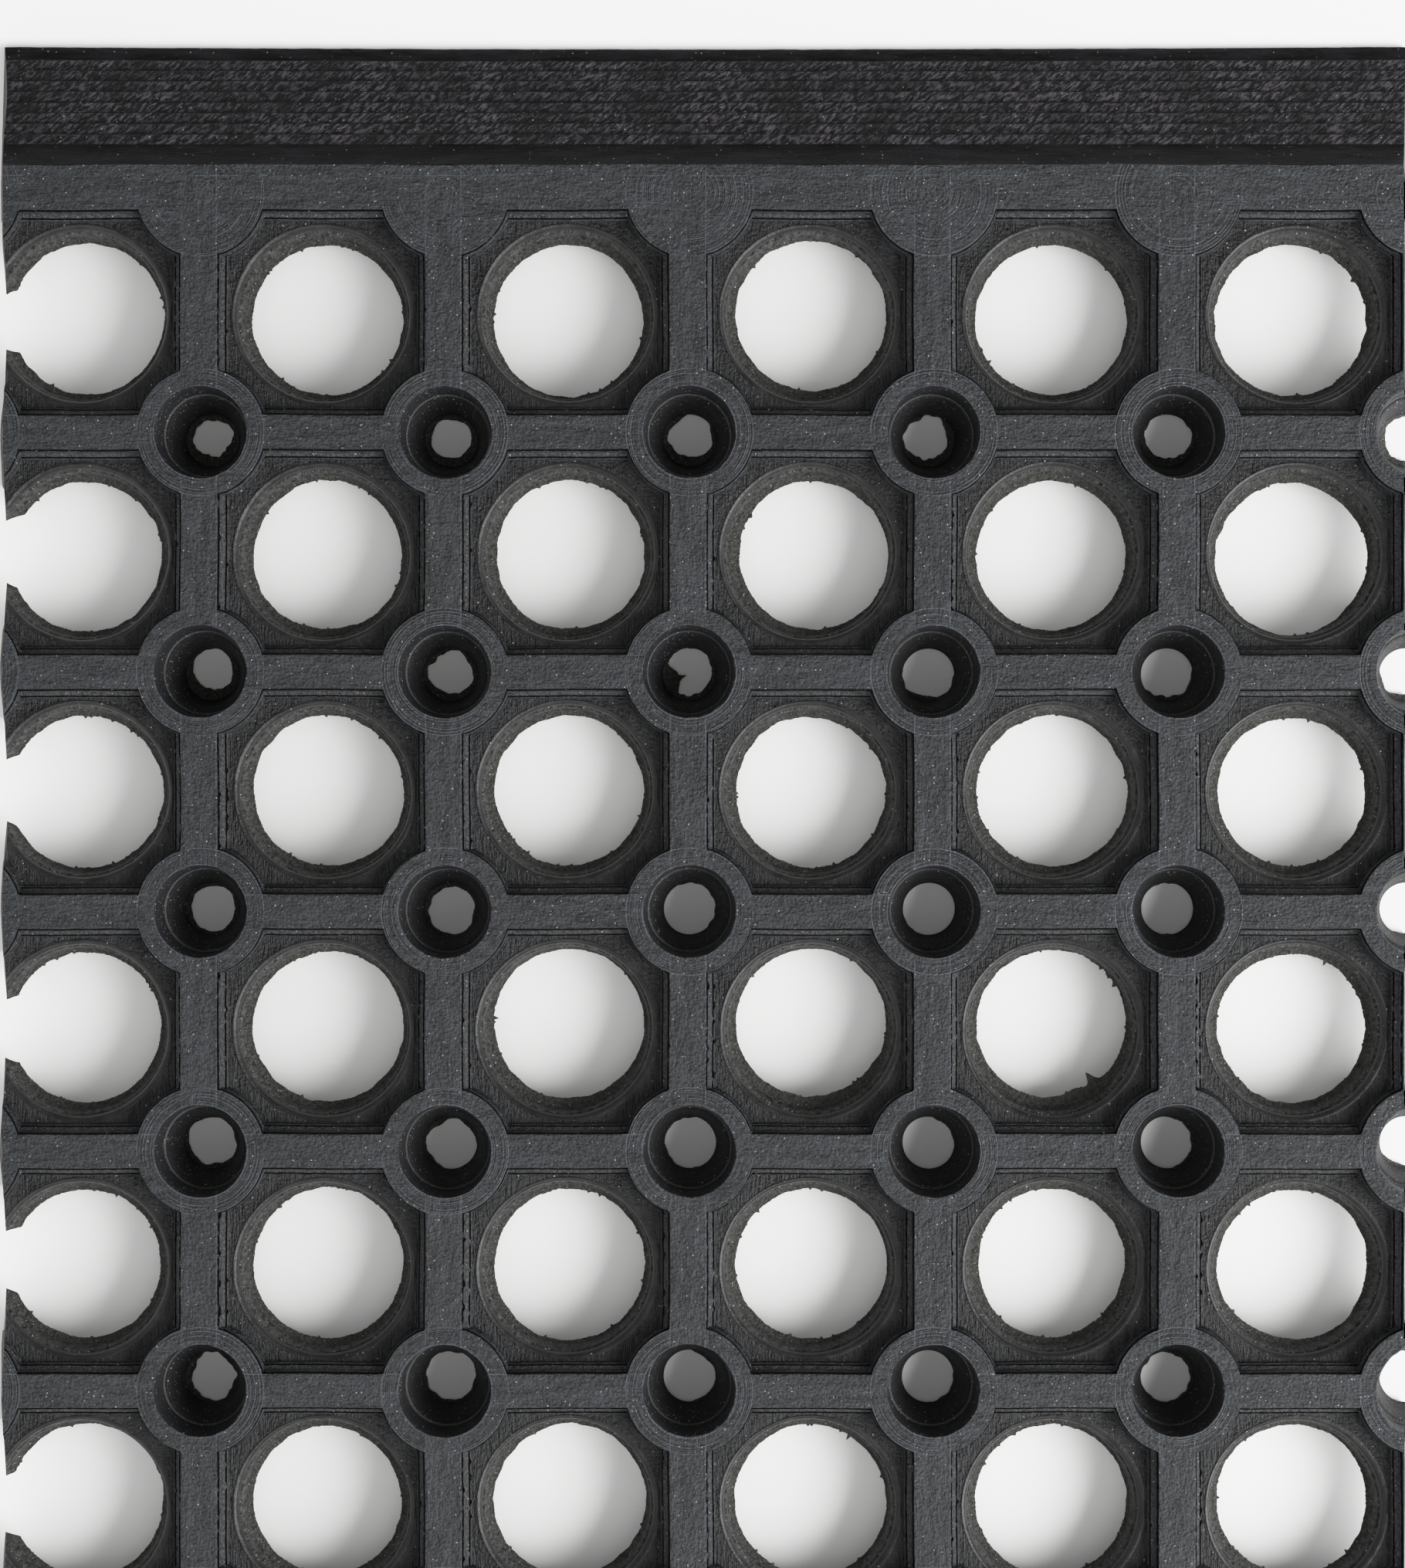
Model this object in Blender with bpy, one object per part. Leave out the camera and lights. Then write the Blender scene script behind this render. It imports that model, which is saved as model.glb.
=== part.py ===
"""Hollow rubber door mat: a lattice of ribs with a hollow ring foot at each crossing, a thick web with a
round drain hole in every cell, and a stepped ramp along the front and rear edges. The mat is one moulding,
trimmed to its width with a leaning knife on both sides. It is built here as nine lengths that meet edge to
edge: two ramps, two borders and five rows of rings. Metres, +Z up. The origin is at the middle of the
underside, +Y points to the front ramp and +X runs along it."""

from math import ceil, floor, pi

import bmesh
import bpy
from mathutils import Matrix, Vector

# Overall sizes
WIDTH = 0.4015  # across the top, between the knife cuts
THICKNESS = 0.022
CUT_LEAN = 0.0062  # how much further out each cut face stands at the floor than at the top
HOLE_ROWS = 6

# The lattice
PITCH_X = 0.070
PITCH_Y = 0.0686
LEFT_CUT_TO_FIRST_RING = 0.057
RIB_X = 0.0104  # width of a rib that runs front to rear
RIB_Y = 0.0096  # width of a rib that runs left to right
RIB_HEIGHT = 0.005
WEB_THICKNESS = 0.009

# The rings and their hollow feet
RING_R = 0.0183
FOOT_R = 0.0155
MOUTH_R = 0.0131
LEDGE_R = 0.0112
LEDGE_DEPTH = 0.013  # from the ring's top down to the ledge in the cup
DRAIN_TOP_R = 0.0085
DRAIN_R = 0.0065

# The drain hole in each cell
HOLE_TOP_R = 0.0250
HOLE_BOTTOM_R = 0.0236

# The border and the ramp
BORDER_BAND = 0.0127
RAMP_LENGTH = 0.0392
RAMP_LIP = 0.0047
RAMP_TOP_SLOPE = 0.0068  # length of the smooth slope between the last tread and the band
RAMP_TOP_RISE = 0.007
RAMP_EDGE_HEIGHT = 0.002
FIRST_TREAD_HEIGHT = 0.0045
TREADS = 8

GAP = 0.0003  # clearance between two lengths that meet
SPARE = 0.010  # how far a blank or a cutter runs past what it makes
BITE = 0.0025  # how far a shape reaches into the one it is joined to or cut from
HOLE_SIDES = 16
RING_SIDES = 16
CUP_SIDES = 12

# Worked out from the sizes above
CELL_X = PITCH_X - RIB_X
CELL_Y = PITCH_Y - RIB_Y
LATTICE_LENGTH = (HOLE_ROWS - 1) * PITCH_Y + CELL_Y
LENGTH = LATTICE_LENGTH + 2 * (BORDER_BAND + RAMP_LENGTH)
LEFT = -WIDTH / 2
RIGHT = WIDTH / 2
WEB_TOP = THICKNESS - RIB_HEIGHT
WEB_BOTTOM = WEB_TOP - WEB_THICKNESS
RAMP_INNER_Y = LENGTH / 2 - RAMP_LENGTH
TREAD_LENGTH = (RAMP_LENGTH - RAMP_LIP - RAMP_TOP_SLOPE) / TREADS
LEDGE_Z = THICKNESS - LEDGE_DEPTH
FIRST_RING_X = LEFT + LEFT_CUT_TO_FIRST_RING
# Column numbers of every ring that reaches into the width; ring 0 is the first whole one.
FIRST_COLUMN = ceil((LEFT - CUT_LEAN - RING_R - FIRST_RING_X) / PITCH_X)
LAST_COLUMN = floor((RIGHT + CUT_LEAN + RING_R - FIRST_RING_X) / PITCH_X)

RUBBER = {"colour": (0.052, 0.053, 0.056, 1.0), "roughness": 0.72, "metallic": 0.0}


def clear_scene():
    for old in list(bpy.data.objects):
        bpy.data.objects.remove(old)


def new_collection(name):
    collection = bpy.data.collections.new(name)
    bpy.context.scene.collection.children.link(collection)
    return collection


def rubber(name):
    """Black moulded rubber, one material for each length of the mat."""
    material = bpy.data.materials.new(name)
    material.use_nodes = True
    shader = material.node_tree.nodes["Principled BSDF"]
    shader.inputs["Base Color"].default_value = RUBBER["colour"]
    shader.inputs["Roughness"].default_value = RUBBER["roughness"]
    shader.inputs["Metallic"].default_value = RUBBER["metallic"]
    return material


def add_box(bm, low, high):
    low, high = Vector(low), Vector(high)
    place = Matrix.Translation((low + high) / 2) @ Matrix.Diagonal((*(high - low), 1.0))
    bmesh.ops.create_cube(bm, size=1.0, matrix=place)


def add_cone(bm, x, y, bottom, top, bottom_r, top_r, sides):
    """A frustum standing between two heights, turned so that flats face along X and Y."""
    place = Matrix.Translation((x, y, (bottom + top) / 2)) @ Matrix.Rotation(pi / sides, 4, "Z")
    bmesh.ops.create_cone(
        bm, cap_ends=True, segments=sides, radius1=bottom_r, radius2=top_r, depth=top - bottom, matrix=place
    )


def object_from(bm, name, collection):
    mesh = bpy.data.meshes.new(name)
    bm.to_mesh(mesh)
    bm.free()
    obj = bpy.data.objects.new(name, mesh)
    collection.objects.link(obj)
    return obj


def helper_from(bm, name, collection):
    """A cutter or another helper, which isn't part of the mat."""
    helper = object_from(bm, name, collection)
    helper.hide_render = True
    helper.display_type = "WIRE"
    return helper


def boolean(obj, operation, other):
    modifier = obj.modifiers.new(f"{operation.lower()}_{other.name}", "BOOLEAN")
    modifier.operation = operation
    modifier.object = other
    modifier.solver = "EXACT"


def ring_xs():
    return [FIRST_RING_X + column * PITCH_X for column in range(FIRST_COLUMN, LAST_COLUMN + 1)]


def hole_xs():
    """Hole columns lie half a pitch beside the rings; those whose edge reaches the mat are cut."""
    columns = range(FIRST_COLUMN - 1, LAST_COLUMN + 1)
    middles = [FIRST_RING_X + (column + 0.5) * PITCH_X for column in columns]
    reach = CUT_LEAN + CELL_X / 2
    return [x for x in middles if LEFT - reach < x < RIGHT + reach]


def hole_ys():
    """Front row first."""
    return [(HOLE_ROWS - 1) / 2 * PITCH_Y - row * PITCH_Y for row in range(HOLE_ROWS)]


def ring_ys():
    """Front row first: a ring row lies between each two rows of holes."""
    return [y - PITCH_Y / 2 for y in hole_ys()[:-1]]


def make_recess_cutter(helpers):
    """One prism for each cell, from the web up, with its corners scalloped by the rings."""
    bm = bmesh.new()
    for y in hole_ys():
        for x in hole_xs():
            low = (x - CELL_X / 2, y - CELL_Y / 2, WEB_TOP)
            high = (x + CELL_X / 2, y + CELL_Y / 2, THICKNESS + SPARE)
            add_box(bm, low, high)
    cutter = helper_from(bm, "recess_cutter", helpers)
    bm = bmesh.new()
    for row in range(HOLE_ROWS + 1):
        y = hole_ys()[0] + (0.5 - row) * PITCH_Y
        for x in ring_xs():
            add_cone(bm, x, y, WEB_TOP - SPARE, THICKNESS + 2 * SPARE, RING_R, RING_R, RING_SIDES)
    boolean(cutter, "DIFFERENCE", helper_from(bm, "ring_keeper", helpers))
    return cutter


def make_hole_cutter(helpers):
    """The drain holes, tapered through the web. The same taper carries on above and below it."""
    spread = (HOLE_TOP_R - HOLE_BOTTOM_R) / WEB_THICKNESS * BITE
    low, high = WEB_BOTTOM - BITE, WEB_TOP + BITE
    bm = bmesh.new()
    for y in hole_ys():
        for x in hole_xs():
            add_cone(bm, x, y, low, high, HOLE_BOTTOM_R - spread, HOLE_TOP_R + spread, HOLE_SIDES)
    return helper_from(bm, "hole_cutter", helpers)


def make_cup_cutters(helpers):
    """The hollow of each ring: a tapered cup down to a ledge, then a cone to the drain at the foot's end."""
    cups, drains = bmesh.new(), bmesh.new()
    for y in ring_ys():
        for x in ring_xs():
            if x + MOUTH_R < LEFT + BITE or x - MOUTH_R > RIGHT - BITE:
                continue
            add_cone(cups, x, y, LEDGE_Z, THICKNESS + GAP, LEDGE_R, MOUTH_R, CUP_SIDES)
            add_cone(drains, x, y, -GAP, LEDGE_Z + BITE, DRAIN_R, DRAIN_TOP_R, CUP_SIDES)
    return [helper_from(cups, "cup_cutter", helpers), helper_from(drains, "drain_cutter", helpers)]


def lattice_length(name, low_y, high_y, feet_y, cutters, parts, helpers):
    """The lattice between two lines across the mat, with the feet of the ring row on it, if any."""
    bm = bmesh.new()
    add_box(bm, (LEFT - SPARE, low_y - SPARE, WEB_BOTTOM), (RIGHT + SPARE, high_y + SPARE, THICKNESS))
    length = object_from(bm, name, parts)
    length.data.materials.append(rubber(f"{name}_rubber"))
    boolean(length, "DIFFERENCE", cutters["recess"])
    if feet_y is not None:
        bm = bmesh.new()
        for x in ring_xs():
            add_cone(bm, x, feet_y, 0.0, WEB_BOTTOM + BITE, FOOT_R, RING_R, RING_SIDES)
        boolean(length, "UNION", helper_from(bm, f"{name}_feet", helpers))
    return length


def trim(length, low_y, high_y, helpers):
    """The leaning knife cuts on the left and right, and the seams to the neighbouring lengths."""
    bm = bmesh.new()
    add_box(bm, (LEFT, low_y, -SPARE), (RIGHT, high_y, THICKNESS + SPARE))
    for corner in bm.verts:
        lean = (THICKNESS - corner.co.z) / THICKNESS * CUT_LEAN
        corner.co.x += lean if corner.co.x > 0 else -lean
    boolean(length, "INTERSECT", helper_from(bm, f"{length.name}_trim", helpers))


def make_ring_row(number, y, cutters, parts, helpers):
    """Half a pitch each side of a row of rings, so every ring is whole in it."""
    name = f"ring_row_{number}"
    low_y, high_y = y - (PITCH_Y - GAP) / 2, y + (PITCH_Y - GAP) / 2
    row = lattice_length(name, low_y, high_y, y, cutters, parts, helpers)
    boolean(row, "DIFFERENCE", cutters["hole"])
    for cutter in cutters["cup"]:
        boolean(row, "DIFFERENCE", cutter)
    trim(row, low_y, high_y, helpers)


def make_border(name, side, cutters, parts, helpers):
    """From the middle of the outer row of holes to the ramp. Its flat band reaches down to the floor."""
    seam = side * (hole_ys()[0] + GAP / 2)
    outer = side * (RAMP_INNER_Y - GAP / 2)
    low_y, high_y = min(seam, outer), max(seam, outer)
    border = lattice_length(name, low_y, high_y, None, cutters, parts, helpers)
    band_inner = side * (RAMP_INNER_Y - BORDER_BAND)
    band_outer = side * (RAMP_INNER_Y + SPARE)
    bm = bmesh.new()
    add_box(
        bm,
        (LEFT - SPARE, min(band_inner, band_outer), 0.0),
        (RIGHT + SPARE, max(band_inner, band_outer), WEB_BOTTOM + BITE),
    )
    boolean(border, "UNION", helper_from(bm, f"{name}_wall", helpers))
    boolean(border, "DIFFERENCE", cutters["hole"])
    trim(border, low_y, high_y, helpers)


def ramp_outline():
    """Distance in from the outer edge, and height: a lip, the treads, then a smooth slope to the top."""
    last_tread_height = THICKNESS - RAMP_TOP_RISE
    rise = (last_tread_height - FIRST_TREAD_HEIGHT) / (TREADS - 1)
    points = [(0.0, 0.0), (0.0, RAMP_EDGE_HEIGHT)]
    for tread in range(TREADS):
        height = FIRST_TREAD_HEIGHT + tread * rise
        start = RAMP_LIP + tread * TREAD_LENGTH
        points += [(start, height), (start + TREAD_LENGTH, height)]
    return points + [(RAMP_LENGTH, THICKNESS), (RAMP_LENGTH, 0.0)]


def as_mesh(drawn, name, collection):
    """A curve object's solid as a mesh object in the same place, with its caps welded on."""
    bpy.context.view_layer.update()
    graph = bpy.context.evaluated_depsgraph_get()
    bm = bmesh.new()
    bm.from_mesh(bpy.data.meshes.new_from_object(drawn.evaluated_get(graph)))
    bmesh.ops.remove_doubles(bm, verts=bm.verts, dist=0.00001)
    solid = object_from(bm, name, collection)
    solid.matrix_world = drawn.matrix_world
    bpy.data.objects.remove(drawn)
    return solid


def make_ramp(name, side, parts, helpers):
    """The outline above, drawn across the mat's whole width and trimmed with the rest."""
    curve = bpy.data.curves.new(name, "CURVE")
    curve.dimensions = "2D"
    curve.fill_mode = "BOTH"
    curve.extrude = WIDTH / 2 + SPARE
    outline = ramp_outline()
    spline = curve.splines.new("POLY")
    spline.points.add(len(outline) - 1)
    for point, (inward, height) in zip(spline.points, outline):
        point.co = (-inward, height, 0.0, 1.0)
    spline.use_cyclic_u = True
    drawn = bpy.data.objects.new(f"{name}_outline", curve)
    drawn.location = (0.0, side * LENGTH / 2, 0.0)
    drawn.rotation_euler = (pi / 2, 0.0, side * pi / 2)
    parts.objects.link(drawn)
    ramp = as_mesh(drawn, name, parts)
    ramp.data.materials.append(rubber(f"{name}_rubber"))
    near, far = side * (RAMP_INNER_Y - SPARE), side * (LENGTH / 2 + SPARE)
    trim(ramp, min(near, far), max(near, far), helpers)


def build():
    clear_scene()
    parts = new_collection("door_mat")
    helpers = new_collection("helpers")
    cutters = {
        "recess": make_recess_cutter(helpers),
        "hole": make_hole_cutter(helpers),
        "cup": make_cup_cutters(helpers),
    }
    make_ramp("front_ramp", 1, parts, helpers)
    make_border("front_border", 1, cutters, parts, helpers)
    for number, y in enumerate(ring_ys(), start=1):
        make_ring_row(number, y, cutters, parts, helpers)
    make_border("rear_border", -1, cutters, parts, helpers)
    make_ramp("rear_ramp", -1, parts, helpers)


build()
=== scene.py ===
from math import asin, atan2, cos, hypot, pi, radians, sin
from random import Random

import bmesh
import bpy
import numpy as np
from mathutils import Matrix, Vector, noise


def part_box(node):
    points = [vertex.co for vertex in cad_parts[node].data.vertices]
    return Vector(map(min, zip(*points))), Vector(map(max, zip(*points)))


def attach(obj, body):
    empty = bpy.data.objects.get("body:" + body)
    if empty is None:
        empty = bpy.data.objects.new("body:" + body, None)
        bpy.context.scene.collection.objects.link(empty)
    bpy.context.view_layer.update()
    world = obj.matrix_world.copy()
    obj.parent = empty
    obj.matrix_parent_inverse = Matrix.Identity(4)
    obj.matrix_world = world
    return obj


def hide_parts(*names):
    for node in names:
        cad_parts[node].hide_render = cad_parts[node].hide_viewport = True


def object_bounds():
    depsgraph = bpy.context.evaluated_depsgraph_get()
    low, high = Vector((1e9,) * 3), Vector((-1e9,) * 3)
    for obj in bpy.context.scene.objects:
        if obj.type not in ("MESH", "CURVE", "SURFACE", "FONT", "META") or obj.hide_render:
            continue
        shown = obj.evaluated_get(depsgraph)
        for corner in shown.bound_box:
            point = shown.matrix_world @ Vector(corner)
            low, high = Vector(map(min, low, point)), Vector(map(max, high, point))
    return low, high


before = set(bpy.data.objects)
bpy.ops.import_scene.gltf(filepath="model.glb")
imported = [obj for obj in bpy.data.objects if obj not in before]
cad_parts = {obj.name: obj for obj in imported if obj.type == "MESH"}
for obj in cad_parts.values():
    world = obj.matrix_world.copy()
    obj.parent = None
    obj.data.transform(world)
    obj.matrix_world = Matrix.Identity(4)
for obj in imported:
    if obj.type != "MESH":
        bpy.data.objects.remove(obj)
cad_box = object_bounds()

# ------------------------------------------------------------------------------------------- cells
# The mat is one compression moulding in black rubber. Its lattice repeats one cell: a drain hole in the web,
# a recess with a stepped wall round it, and a quarter of a ring at each corner. A cell is modelled once here,
# in millimetres, as loops of points that run from its underside, up through the hole and out over the ribs.
MM = 0.001
row_low, row_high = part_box("ring_row_1")
# the knife leaned, so each side stands out this much further at the floor than at the top
CUT_LEAN = 6.2
LEFT, RIGHT, TOP = row_low.x / MM + CUT_LEAN, row_high.x / MM - CUT_LEAN, row_high.z / MM


def middle_y(node):
    low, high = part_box(node)
    return (low.y + high.y) / 2 / MM


PITCH_X = 70.0
PITCH_Y = middle_y("ring_row_1") - middle_y("ring_row_2")
LEFT_TO_FIRST_RING = 57.0
FIRST_RING_X = LEFT + LEFT_TO_FIRST_RING
RIB_X, RIB_Y = 10.4, 9.6
RING_R, FOOT_R, MOUTH_R = 18.3, 15.5, 13.1
WEB_TOP, WEB_BOTTOM = TOP - 5.0, TOP - 14.0
FLASH_R = 21.75
# points round a cell, in one quarter of it, and in a third of that quarter
STATIONS = 240
QUARTER = STATIONS // 4
THIRD = QUARTER // 3


def in_four_quarters(quarter):
    """The points of a quarter outline, from the +X axis round to +Y, mirrored into all four."""
    points = []
    for station in range(STATIONS):
        part, along = divmod(station, QUARTER)
        x, y = quarter[QUARTER - along if part % 2 else along]
        points.append((-x if part in (1, 2) else x, -y if part in (2, 3) else y))
    return points


def circle(radius):
    turns = [step / QUARTER * pi / 2 for step in range(QUARTER + 1)]
    return in_four_quarters([(radius * cos(turn), radius * sin(turn)) for turn in turns])


def notched(half_x, half_y, notch_r):
    """A rectangle with its corners cut away by circles round the ring centres."""
    corner_x, corner_y = PITCH_X / 2, PITCH_Y / 2
    first = asin((corner_x - half_x) / notch_r)
    last = pi / 2 - asin((corner_y - half_y) / notch_r)
    side_end = corner_y - notch_r * cos(first)
    end_start = corner_x - notch_r * sin(last)
    side = [(half_x, side_end * step / THIRD) for step in range(THIRD)]
    turns = [first + (last - first) * step / THIRD for step in range(THIRD)]
    arc = [(corner_x - notch_r * sin(turn), corner_y - notch_r * cos(turn)) for turn in turns]
    end = [(end_start * (THIRD - step) / THIRD, half_y) for step in range(THIRD + 1)]
    return in_four_quarters(side + arc + end)


def recess(inset, swell):
    """The recess, smaller by an inset along the ribs and by a swell round the rings."""
    return notched((PITCH_X - RIB_X) / 2 - inset, (PITCH_Y - RIB_Y) / 2 - inset, RING_R + swell)


def rectangle(half_x, half_y):
    half = QUARTER // 2
    side = [(half_x, half_y * step / half) for step in range(half)]
    end = [(half_x * (half - step) / half, half_y) for step in range(half + 1)]
    return in_four_quarters(side + end)


# Each loop: its outline, its height, and the finish of the band between it and the loop before.
HOLE_LOOPS = [
    (circle(28.5), WEB_BOTTOM, "underside"),
    (circle(24.3), WEB_BOTTOM, "underside"),
    (circle(23.85), 8.15, "underside"),
    (circle(23.4), 8.45, "bore"),
    (circle(FLASH_R), 8.7, "torn"),
    (circle(FLASH_R), 8.95, "torn"),
    (circle(22.5), 9.15, "torn"),
    (circle(23.4), 9.7, "torn"),
    (circle(23.65), 10.6, "bore"),
    (circle(23.85), 12.2, "bore"),
    (circle(24.0), 13.6, "bore"),
    (circle(24.15), 14.15, "bore"),
    (circle(24.6), 14.3, "bore"),
    (circle(24.95), 14.6, "bore"),
    (circle(24.7), 15.1, "bullnose"),
    (circle(24.85), 15.8, "bullnose"),
    (circle(25.15), 16.5, "bullnose"),
    (circle(25.65), 17.0, "bullnose"),
    (circle(26.1), WEB_TOP + 0.14, "bullnose"),
    (circle(26.4), WEB_TOP, "bullnose"),
    (recess(3.1, 1.6), WEB_TOP - 0.05, "web"),
    (recess(2.75, 1.18), WEB_TOP, "web"),
    (recess(2.6, 1.06), 17.3, "web"),
    (recess(2.45, 0.98), 18.3, "wall"),
    (recess(2.3, 0.93), 18.4, "wall"),
    (recess(2.2, 0.9), 17.8, "groove"),
    (recess(1.9, 0.82), 17.8, "groove"),
    (recess(1.8, 0.8), 18.6, "groove"),
    (recess(0.85, 0.5), 19.3, "wall"),
    (recess(0.68, 0.42), 20.75, "wall"),
    (recess(0.55, 0.36), 21.0, "wall"),
    (recess(0.45, 0.3), 20.4, "groove"),
    (recess(0.15, 0.14), 20.4, "groove"),
    (recess(0.05, 0.04), 21.7, "groove"),
    (recess(-0.06, -0.02), 21.9, "face"),
    (recess(-0.3, -0.25), TOP, "face"),
    (recess(-0.9, -0.9), TOP, "face"),
]
# places among a cell's loops, the first of which is the cell's own outline
FLASH_LOWER, FLASH_UPPER, FLASH_BACK = 5, 6, 7
BEAD_LAST, WALL_FIRST, WALL_LAST = 19, 23, 36
# the mould's long rib inserts sat this far off the lattice
RIB_DRIFT = -0.45
RING_CELL = (
    [(notched(PITCH_X / 2, PITCH_Y / 2, RING_R), WEB_BOTTOM, "underside")]
    + HOLE_LOOPS
    + [(notched(PITCH_X / 2, PITCH_Y / 2, MOUTH_R + 0.45), TOP, "face")]
)
FINISHES = [
    "face", "web", "wall", "groove", "bullnose", "bore", "torn", "cup", "underside", "knife_cut", "ramp",
    "shaded_ramp_slope",
]
FINISH_MATERIALS = {name: bpy.data.materials.new(f"rubber_{name}") for name in FINISHES}


def in_edit_mode(obj):
    """Alone selected, in edit mode, with nothing selected inside it."""
    if bpy.context.mode != "OBJECT":
        bpy.ops.object.mode_set(mode="OBJECT")
    bpy.ops.object.select_all(action="DESELECT")
    obj.select_set(True)
    bpy.context.view_layer.objects.active = obj
    bpy.ops.object.mode_set(mode="EDIT")
    bpy.ops.mesh.select_mode(type="VERT")
    bpy.ops.mesh.select_all(action="DESELECT")
    return bmesh.from_edit_mesh(obj.data)


def selected_placed(obj, loop, place):
    """Puts the selected points where place(vert) says, and notes which loop they are."""
    bm = bmesh.from_edit_mesh(obj.data)
    loops = bm.verts.layers.int["loop"]
    for vert in bm.verts:
        if vert.select:
            vert[loops] = loop
            vert.co = place(vert)
    bmesh.update_edit_mesh(obj.data)


def model_cell(name, loops):
    """A circle of points, extruded from loop to loop."""
    bpy.ops.object.select_all(action="DESELECT")
    bpy.ops.mesh.primitive_circle_add(vertices=STATIONS, radius=RING_R)
    cell = bpy.context.object
    cell.name = name
    bm = in_edit_mode(cell)
    bm.verts.layers.int.new("loop")
    station = bm.verts.layers.int.new("station")
    for vert in bm.verts:
        vert[station] = round(atan2(vert.co.y, vert.co.x) / (2 * pi) * STATIONS) % STATIONS
    bpy.ops.mesh.select_all(action="SELECT")
    for number, (outline, height, _) in enumerate(loops):
        if number:
            bpy.ops.mesh.extrude_region()
        station = bmesh.from_edit_mesh(cell.data).verts.layers.int["station"]
        selected_placed(cell, number, lambda vert: Vector((*outline[vert[station]], height)))
    bpy.ops.object.mode_set(mode="OBJECT")
    mesh = cell.data
    for finish in FINISHES:
        mesh.materials.append(FINISH_MATERIALS[finish])
    loop = np.zeros(len(mesh.vertices), int)
    mesh.attributes["loop"].data.foreach_get("value", loop)
    for face in mesh.polygons:
        face.material_index = FINISHES.index(loops[max(loop[v] for v in face.vertices)][2])
    return cell


def half_of(cell, side):
    """A copy of the cell's half towards +Y or -Y of its hole's middle."""
    half = cell.copy()
    half.data = cell.data.copy()
    bpy.context.scene.collection.objects.link(half)
    bm = in_edit_mode(half)
    bpy.ops.mesh.select_mode(type="FACE")
    for face in bm.faces:
        face.select_set(face.calc_center_median().y * side < 0)
    bmesh.update_edit_mesh(half.data)
    bpy.ops.mesh.delete(type="FACE")
    bpy.ops.object.mode_set(mode="OBJECT")
    return half


def smooth_ring(random, count, harmonics, size):
    """A closed, smooth random curve round a circle: its value at each of count stations."""
    total = np.zeros(count)
    for harmonic in harmonics:
        turn = np.arange(count) / count * 2 * pi * harmonic + random.uniform(0, 2 * pi)
        total += random.gauss(0, 1) / len(harmonics) ** 0.5 * np.cos(turn)
    return size * total


# Holes whose torn flash stands out: how far the opening lies off its hole's middle, along X and Y.
OFF_CENTRE = {
    (3, 3): (0.3, 1.5), (0, 3): (0.4, 1.2), (1, 3): (1.0, 0.2), (3, 4): (0.2, 1.0), (3, 2): (0, 1.2),
    (1, 5): (-0.2, -0.9),
}
USUAL_OFF = 0.35
# How far a tear wanders in broad sweeps, in ragged ones, and crumb by crumb, and how long its threads are.
SWEEP, RAGGED, CRUMB, THREAD = 0.2, 0.13, 0.06, (0.2, 0.8)
SMALLEST_TEAR, LARGEST_TEAR = 19.0, 23.2
# A strip of flash that was left hanging in one hole: where round the hole, in degrees.
HANGING_STRIP = {(3, 4): -52}


def degrees_from(turn, middle):
    """How far round each station lies from a place, both in degrees, the short way round."""
    return (np.degrees(turn) - middle + 180) % 360 - 180


def torn_opening(row, column):
    """The radius of one hole's opening at each station. Its flash was torn out by hand, so no two match."""
    random = Random(f"flash {row} {column}")
    turn = np.arange(STATIONS) / STATIONS * 2 * pi
    usual = (random.uniform(-USUAL_OFF, USUAL_OFF), random.uniform(-USUAL_OFF, USUAL_OFF))
    off_x, off_y = OFF_CENTRE.get((row, column), usual)
    radius = FLASH_R + random.uniform(-0.3, 0.35) + off_x * np.cos(turn) + off_y * np.sin(turn)
    radius += smooth_ring(random, STATIONS, range(2, 5), SWEEP)
    radius += smooth_ring(random, STATIONS, range(5, 24), RAGGED)
    radius += np.array([random.gauss(0, CRUMB) for _ in turn])
    for _ in range(random.randrange(5, 12)):
        at = random.randrange(STATIONS)
        radius[at] -= random.uniform(*THREAD)
    if column == 0:
        radius += 0.6 * np.clip(-np.cos(turn), 0, 1)
    radius = np.clip(radius, SMALLEST_TEAR, LARGEST_TEAR)
    if (row, column) in HANGING_STRIP:
        from_strip = degrees_from(turn, HANGING_STRIP[row, column])
        radius -= 3.9 * np.exp(-((from_strip / 3.5) ** 2)) + 1.3 * np.exp(-(((from_strip + 17) / 14) ** 2))
    return radius


# Beside the left knife cut the web past each hole was so thin that it tore away: how far round, in degrees.
TORN_AWAY, TORN_END, TORN_TO_R = 12.0, 27.0, 28.8
# The flash is a thin skin: its middle lies this share of the way to the wall it grew from, at this radius.
FLASH_ROOT_R, FLASH_MIDDLE, FLASH_BEVEL = 23.6, 0.5, 0.03
EDGE_BEADING = 0.035


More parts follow.
